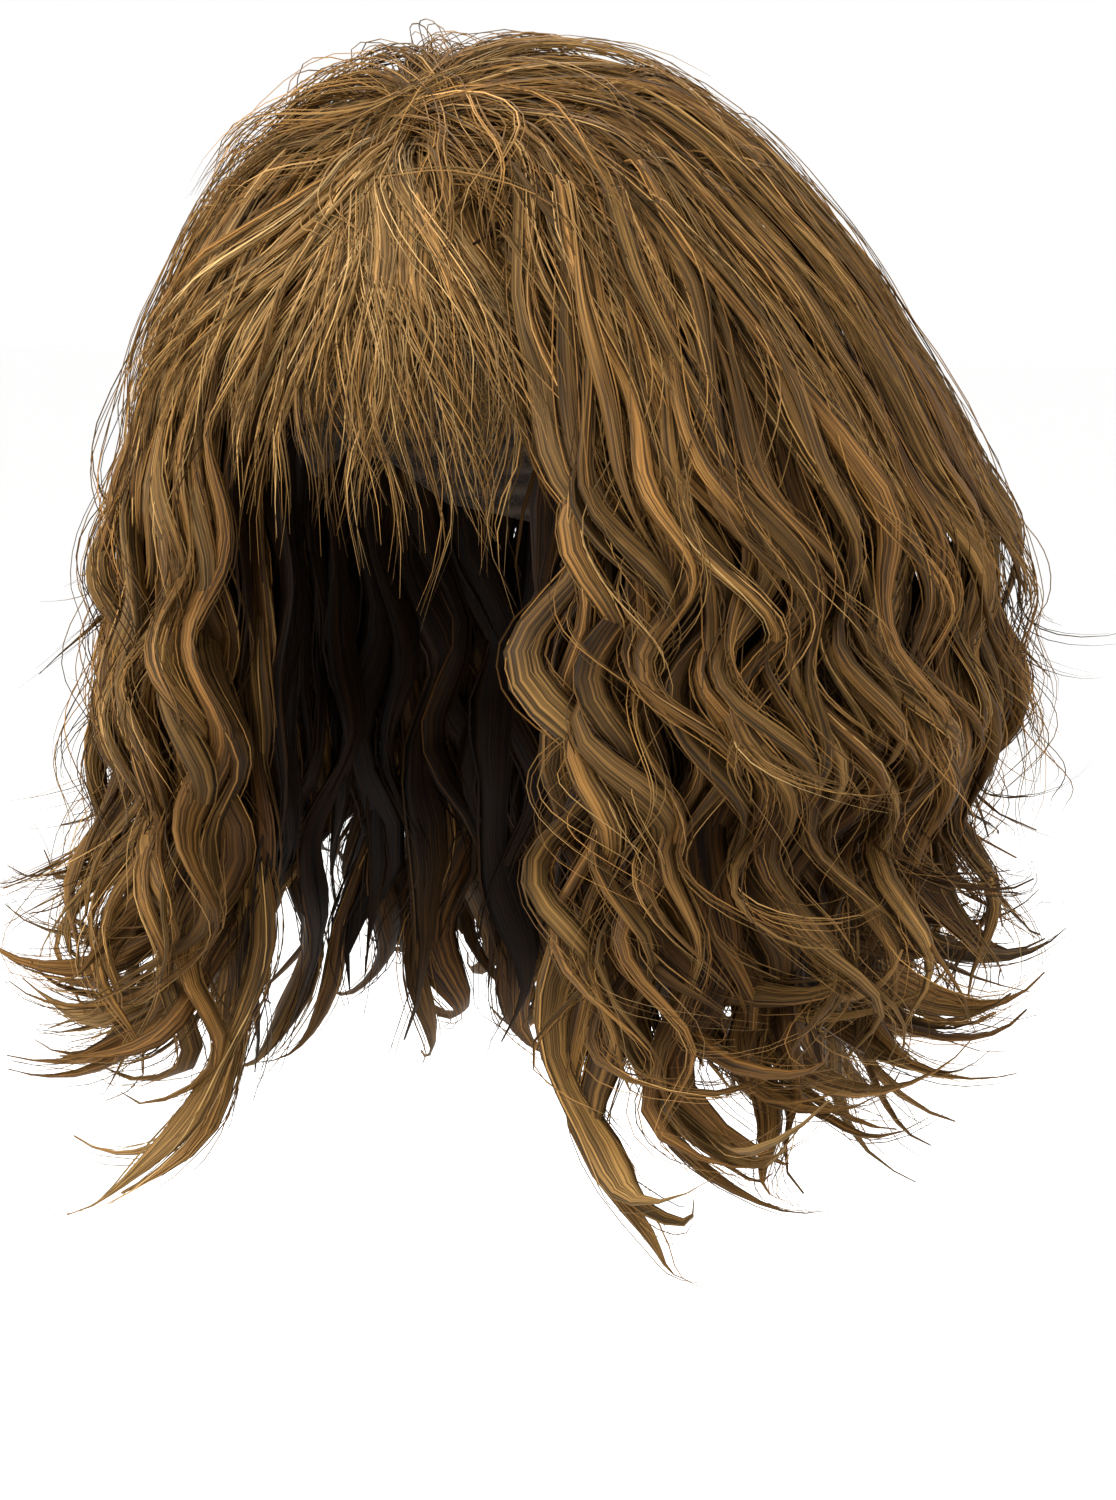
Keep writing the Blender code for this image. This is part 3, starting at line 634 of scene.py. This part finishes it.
def make_locks(rng, name, layer):
    """Random values of each lock of a layer, round those of its row."""
    count, root, toward = layer["count"], layer["root"], layer["toward"]
    crown = name == "crown_hair"
    fine = layer["strand"] < FINE_STRAND
    span = layer["last"] - layer["first"]
    place = (np.arange(count) + 0.5 + rng.uniform(-0.4, 0.4, count)) / count

    def about(value, share):
        return value * (1.0 + rng.uniform(-share, share, count))

    azimuth = layer["first"] + span * place
    shortest = -0.15 if name in SHORT_HAIR or root > LOW_ROOT else -0.24
    end = layer["end_first"] + (layer["end_last"] - layer["end_first"]) * place
    end = end + rng.uniform(shortest, 0.05, count)
    ahead = np.clip(np.cos(np.radians(azimuth)) + PARTING_REACH, 0.0, 1.0) * crown
    scatter_x, scatter_y = (rng.normal(0.0, ROOT_SCATTER, count) * crown for _ in range(2))
    return {
        "azimuth": azimuth,
        "shift_x": scatter_x,
        "shift_y": scatter_y - PARTING * ahead * rng.uniform(0.0, 1.0, count),
        "swirl": rng.normal(0.5, 0.6, count) * SWIRL * crown,
        "root": root + rng.uniform(-0.05, 0.08, count) * (1.0 if layer["sprout"] == 1.0 else 1.6),
        "sprout": np.full(count, layer["sprout"]),
        "end": end,
        "gather": np.full(count, layer["gather"]),
        "drift": rng.normal(0.0, drift_of(name, fine, abs(span) / count), count),
        "inset": layer["inset"] + rng.uniform(-0.05, 0.09, count),
        "inset_tip": layer["inset_tip"] + rng.uniform(-0.06, 0.08, count),
        "wide": about(layer["wide"], 0.3) / HALF_MILLIMETRES,
        "thick": about(layer["thick"], 0.3) / HALF_MILLIMETRES,
        "wave": about(layer["wave"], 0.25),
        "pitch": about(1.0, 0.10 if fine else 0.07),
        "phase": rng.normal(0.0, 0.9 if fine else 0.5, count),
        "flip": about(layer["flip"], 0.35),
        "bend": about(layer["bend"], 0.25) / 1000.0,
        "lean": (0.0 if toward is None else (toward - azimuth) * 0.85) + rng.normal(0.0, 18.0, count),
        "twist": rng.normal(0.0, 1.4, count) * (1.0 if layer["wave"] > 0.4 else 0.25),
        "tone": layer["tone"] + rng.normal(0.0, 0.05, count),
        "seed": rng.uniform(0.0, 1.0, count),
    }


def profile(share, root, full, tip):
    """Width along a lock or strand: from the root's share to all of it at full, and down to the tip's share."""
    rise = root + (1.0 - root) * smoothstep(0.0, full, share)
    return rise * (1.0 - (1.0 - tip) * smoothstep(TAPER_FROM, 1.0, share))


def shade_of(locks, station, share, bulge):
    """Tones along the locks: painted shade at the roots and in the middle, painted light at the lowest tips, and
    painted highlights on the bulges with painted shade in the hollows.
    """
    shade = locks["tone"][:, None] - ROOT_SHADE * (1.0 - smoothstep(0.0, ROOT_SHADE_END, share))
    shade = shade - LOW_SHADE * smoothstep(LOW_SHADE_FROM, LOW_SHADE_FULL, station)
    shade = shade + TIP_LIGHT * smoothstep(TIP_LIGHT_FROM, TIP_LIGHT_FULL, station)
    return shade + BEND_PAINTED_HIGHLIGHT * bulge


def add_bodies(tubes, locks, run, layer, short):
    """Adds a solid body to each lock, darker than the strands round it as painted shade."""
    core = layer["core"]
    index = thin_out(run["points"], layer["rings"]) * core
    shape = SHORT_CORE_PROFILE if short or locks["root"].mean() > LOW_ROOT else CORE_PROFILE
    body = profile(pick(run["share"], index) / core, *shape) * pick(run["swell"], index)
    tubes.add(
        keep_in_box(pick(run["points"], index)), unit(pick(run["side"], index)), unit(pick(run["normal"], index)),
        locks["wide"][:, None] * CORE_WIDE * body, locks["thick"][:, None] * CORE_THICK * body,
        pick(run["shade"], index) - CORE_SHADE, locks["seed"], CORE_SIDES)


def add_strands(tubes, rng, locks, run, layer, short):
    """Wraps each lock in flat strands that start and end at their own places and stray a little from it."""
    strands, rings = layer["strands"], layer["rings"]
    fine = layer["strand"] < FINE_STRAND
    owner = np.repeat(np.arange(layer["count"]), strands)
    count = len(owner)
    turn = (np.tile(np.arange(strands), layer["count"]) + rng.uniform(0.1, 0.9, count)) / strands
    turn = (turn - 0.25 + CROWDING * np.sin(2.0 * math.pi * turn + math.pi / 2.0)) * 2.0 * math.pi
    turn = turn[:, None]
    reach = rng.uniform(NEAREST, SHORT_FARTHEST if short else FARTHEST, count)[:, None]
    begin = rng.uniform(0.0, LATE_START, count)[:, None]
    begin = begin * (rng.uniform(0.0, 1.0, count) < LATE_START_SHARE)[:, None]
    stop = rng.uniform(EARLY_STOP, 1.0, count)[:, None]
    index = (begin + (stop - begin) * np.linspace(0.0, 1.0, DENSE)[None, :]) * (DENSE - 1)

    def carried(values):
        return pick(values[owner], index)

    own_side, own_normal, station = carried(run["side"]), carried(run["normal"]), carried(run["station"])
    lock_wide, lock_thick = locks["wide"][owner][:, None], locks["thick"][owner][:, None]
    around = carried(profile(run["share"], *LOCK_PROFILE) * run["swell"]) * reach
    far = lock_wide * np.cos(turn) * around
    high = lock_thick * np.sin(turn) * around

    loose = smoothstep(LOOSE_FROM, LOOSE_FULL, station) * rng.uniform(0.3, 1.0, count)[:, None]
    loose = loose * (FINE_LOOSE if fine else LOOSE)
    ripple = 2.0 * math.pi * travel(station) / rng.uniform(RIPPLE_SHORTEST, RIPPLE_LONGEST, count)[:, None]
    ripple = ripple + rng.uniform(0.0, 6.3, count)[:, None]
    far = far + loose * np.sin(ripple)
    high = high + loose * np.cos(ripple * RIPPLE_SKEW)
    late = np.clip((carried(run["share"]) - STRAY_FROM) / (1.0 - STRAY_FROM), 0.0, 1.0) ** 2
    length = np.minimum(locks["end"][owner] - locks["root"][owner], 1.0)[:, None]
    stray = rng.normal(0.0, FINE_STRAY if fine else STRAY, (count, 2)) * length
    far = far + stray[:, :1] * late
    high = high + stray[:, 1:] * late

    paths = keep_in_box(carried(run["points"]) + own_side * far[..., None] + own_normal * high[..., None])
    ring = thin_out(paths, rings)
    paths = pick(paths, ring)
    along = unit(np.gradient(paths, axis=1))
    flatter = np.sin(turn) / lock_thick * lock_wide
    facing = pick(own_side * np.cos(turn)[..., None] + own_normal * flatter[..., None], ring)
    side = unit(np.cross(facing, along))
    taper = profile(np.linspace(0.0, 1.0, rings)[None, :], *STRAND_PROFILE)
    wide = layer["strand"] / HALF_MILLIMETRES * rng.uniform(0.7, 1.3, count)[:, None] * taper
    thick = np.minimum(np.maximum(wide * STRAND_FLATNESS, THIN_STRAND), wide)
    tone = pick(carried(run["shade"]), ring)
    tone = tone + rng.normal(0.0, SHORT_STRAND_TONES if short else STRAND_TONES, count)[:, None]
    # Painted shade on the strands at the lock's edges and inner side
    tone = tone - EDGE_SHADE * (1.0 - np.sin(turn)) / 2.0
    start = rng.uniform(0.0, 1.0, count)
    tubes.add(paths, side, np.cross(along, side), wide, thick, tone, start, STRAND_SIDES)


def grow_layer(tubes, rng, name, layer):
    """Adds a layer's locks."""
    short = name in SHORT_HAIR
    locks = make_locks(rng, name, layer)
    points, station, share, bulge = lock_paths(locks)
    angle = np.radians(locks["azimuth"])
    outward = np.stack([np.sin(angle), -np.cos(angle), np.full_like(angle, OUTWARD_RISE)], axis=-1)
    side, normal = transport(points, outward)
    twist = locks["twist"][:, None] * smoothstep(TWIST_FROM, TWIST_FULL, station) * TWIST
    cosine, sine = np.cos(twist)[..., None], np.sin(twist)[..., None]
    swelling = 2.0 * math.pi * travel(station) / SWELL_LENGTH + SWELL_OFFSET * locks["seed"][:, None]
    run = {
        "points": points,
        "station": station,
        "share": share,
        "side": side * cosine + normal * sine,
        "normal": normal * cosine - side * sine,
        "shade": shade_of(locks, station, share, bulge),
        "swell": 1.0 + SWELL * np.sin(swelling) * (not short),
    }
    if layer["core"] > 0.0:
        add_bodies(tubes, locks, run, layer, short)
    add_strands(tubes, rng, locks, run, layer, short)


def new_material(name):
    """A material, its node tree and its Principled shader."""
    made = bpy.data.materials.new(name)
    made.use_nodes = True
    return made, made.node_tree, made.node_tree.nodes["Principled BSDF"]


def node(tree, kind, **settings):
    """A node with its inputs' values and its own settings."""
    made = tree.nodes.new(kind)
    for key, value in settings.items():
        if key in made.inputs:
            made.inputs[key].default_value = value
        else:
            setattr(made, key, value)
    return made


def map_range(tree, source, old, new):
    """The source's values from the old range, put in the new one."""
    made = node(tree, "ShaderNodeMapRange", **dict(zip(("From Min", "From Max", "To Min", "To Max"), old + new)))
    tree.links.new(source, made.inputs["Value"])
    return made.outputs["Result"]


def add_bump(tree, shader, height, distance):
    bump = node(tree, "ShaderNodeBump", Strength=0.7, Distance=distance)
    tree.links.new(height, bump.inputs["Height"])
    tree.links.new(bump.outputs["Normal"], shader.inputs["Normal"])


def hair_material(name):
    """Fibres with their tints, which carry painted light and shade as well as the hair's own tones, streaks along
    their length, and a soft sheen.
    """
    made, tree, shader = new_material(name)
    tint = node(tree, "ShaderNodeAttribute", attribute_name="tint")
    fibre = node(tree, "ShaderNodeAttribute", attribute_name="fibre")
    fine = node(tree, "ShaderNodeTexNoise", Scale=1.0, Detail=2.0, Roughness=0.55)
    broad = node(tree, "ShaderNodeTexNoise", Scale=0.37, Detail=1.0, Roughness=0.5)
    for noise in (fine, broad):
        tree.links.new(fibre.outputs["Vector"], noise.inputs["Vector"])
    both = node(tree, "ShaderNodeMath", operation="MULTIPLY")
    tree.links.new(map_range(tree, fine.outputs["Fac"], (0.39, 0.61), (0.34, 1.58)), both.inputs[0])
    tree.links.new(map_range(tree, broad.outputs["Fac"], (0.40, 0.60), (0.64, 1.32)), both.inputs[1])
    colour = node(tree, "ShaderNodeVectorMath", operation="SCALE")
    tree.links.new(tint.outputs["Color"], colour.inputs[0])
    tree.links.new(both.outputs[0], colour.inputs["Scale"])
    tree.links.new(colour.outputs["Vector"], shader.inputs["Base Color"])
    roughness = map_range(tree, fine.outputs["Fac"], (0.0, 1.0), (0.50, 0.68))
    tree.links.new(roughness, shader.inputs["Roughness"])
    add_bump(tree, shader, fine.outputs["Fac"], 0.0006)
    shader.inputs["Specular IOR Level"].default_value = 0.10
    return made


def net_material():
    """The cap: dark elastic net with sewn weft rows."""
    made, tree, shader = new_material("cap_net")
    place = node(tree, "ShaderNodeTexCoord")
    rows = node(tree, "ShaderNodeTexWave", Scale=42.0, Distortion=0.6, Detail=1.0, bands_direction="Z")
    rows.inputs["Detail Scale"].default_value = 2.0
    mesh = node(tree, "ShaderNodeTexVoronoi", Scale=520.0, feature="DISTANCE_TO_EDGE")
    for texture in (rows, mesh):
        tree.links.new(place.outputs["Object"], texture.inputs["Vector"])
    mix = node(tree, "ShaderNodeMath", operation="MAXIMUM")
    tree.links.new(map_range(tree, mesh.outputs["Distance"], (0.0, 0.12), (1.0, 0.25)), mix.inputs[0])
    tree.links.new(rows.outputs["Fac"], mix.inputs[1])
    ramp = node(tree, "ShaderNodeValToRGB")
    ramp.color_ramp.elements[0].color = (0.010, 0.007, 0.005, 1.0)
    ramp.color_ramp.elements[1].color = (0.075, 0.048, 0.028, 1.0)
    tree.links.new(mix.outputs[0], ramp.inputs["Fac"])
    tree.links.new(ramp.outputs["Color"], shader.inputs["Base Color"])
    tree.links.new(map_range(tree, mix.outputs[0], (0.0, 1.0), (0.9, 0.65)), shader.inputs["Roughness"])
    add_bump(tree, shader, mix.outputs[0], 0.0008)
    return made


def floor_material():
    """A nearly white floor with faint patches."""
    made, tree, shader = new_material("pale_floor")
    noise = node(tree, "ShaderNodeTexNoise", Scale=3.0)
    ramp = node(tree, "ShaderNodeValToRGB")
    ramp.color_ramp.elements[0].color = (0.985, 0.985, 0.98, 1.0)
    ramp.color_ramp.elements[1].color = (1.0, 1.0, 0.995, 1.0)
    tree.links.new(noise.outputs["Fac"], ramp.inputs["Fac"])
    tree.links.new(ramp.outputs["Color"], shader.inputs["Base Color"])
    shader.inputs["Roughness"].default_value = 0.7
    return made


def build_hair():
    """Replaces each piece of the CAD's hair by one mesh of locks."""
    for order, name in enumerate(sorted(LAYERS)):
        rng = np.random.default_rng(FIRST_SEED + order)
        tubes = Tubes()
        for row in LAYERS[name]:
            grow_layer(tubes, rng, name, dict(zip(COLUMNS, row)))
        piece = tubes.build(name + "_locks")
        piece.data.materials.append(hair_material(name + "_fibre"))
        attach(piece, "root")
        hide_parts(name)


def build_stage():
    """The floor, the white surroundings and the lights."""
    size = FLOOR_HALF_SIZE
    mesh = bpy.data.meshes.new("floor")
    mesh.from_pydata([(-size, -size, 0), (size, -size, 0), (size, size, 0), (-size, size, 0)], [], [(0, 1, 2, 3)])
    floor = bpy.data.objects.new("floor", mesh)
    floor.location = (0.0, 0.0, FLOOR_LEVEL)
    bpy.context.scene.collection.objects.link(floor)
    floor.data.materials.append(floor_material())

    world = bpy.data.worlds.new("studio")
    world.use_nodes = True
    world.node_tree.nodes["Background"].inputs["Color"].default_value = (1.0, 1.0, 1.0, 1.0)
    world.node_tree.nodes["Background"].inputs["Strength"].default_value = 1.0
    bpy.context.scene.world = world
    bpy.context.scene.view_settings.view_transform = "Standard"

    for name, azimuth, height, distance, light_size, power in LIGHTS:
        light = bpy.data.lights.new(name, "AREA")
        light.shape = "DISK"
        light.size = light_size
        light.energy = power
        lamp = bpy.data.objects.new(name, light)
        angle = math.radians(azimuth)
        lamp.location = (distance * math.sin(angle), -distance * math.cos(angle), height)
        lamp.rotation_euler = (Vector(LIGHT_AIM) - lamp.location).to_track_quat("-Z", "Y").to_euler()
        bpy.context.scene.collection.objects.link(lamp)


def build_camera():
    """The photo's view."""
    azimuth, elevation = math.radians(VIEW_AZIMUTH), math.radians(VIEW_ELEVATION)
    flat = math.cos(elevation)
    view = Vector((math.sin(azimuth) * flat, -math.cos(azimuth) * flat, math.sin(elevation)))
    right = Vector((math.cos(azimuth), math.sin(azimuth), 0.0))
    up = view.cross(right)
    middle = right * ((PHOTO_WIDTH / 2 - ORIGIN_PIXEL_X) * PIXEL)
    middle = middle - up * ((PHOTO_HEIGHT / 2 - ORIGIN_PIXEL_Y) * PIXEL)
    data = bpy.data.cameras.new("camera")
    data.sensor_width = SENSOR
    data.lens = VIEW_DISTANCE / PIXEL / PHOTO_HEIGHT * SENSOR
    data.clip_end = 50.0
    camera = bpy.data.objects.new("camera", data)
    turned = Matrix((right, up, view)).transposed().to_4x4()
    camera.matrix_world = Matrix.Translation(middle + view * VIEW_DISTANCE) @ turned
    bpy.context.scene.collection.objects.link(camera)
    bpy.context.scene.camera = camera


build_camera()
build_stage()
build_hair()
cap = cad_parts["wig_cap"]
cap.data.materials.clear()
cap.data.materials.append(net_material())
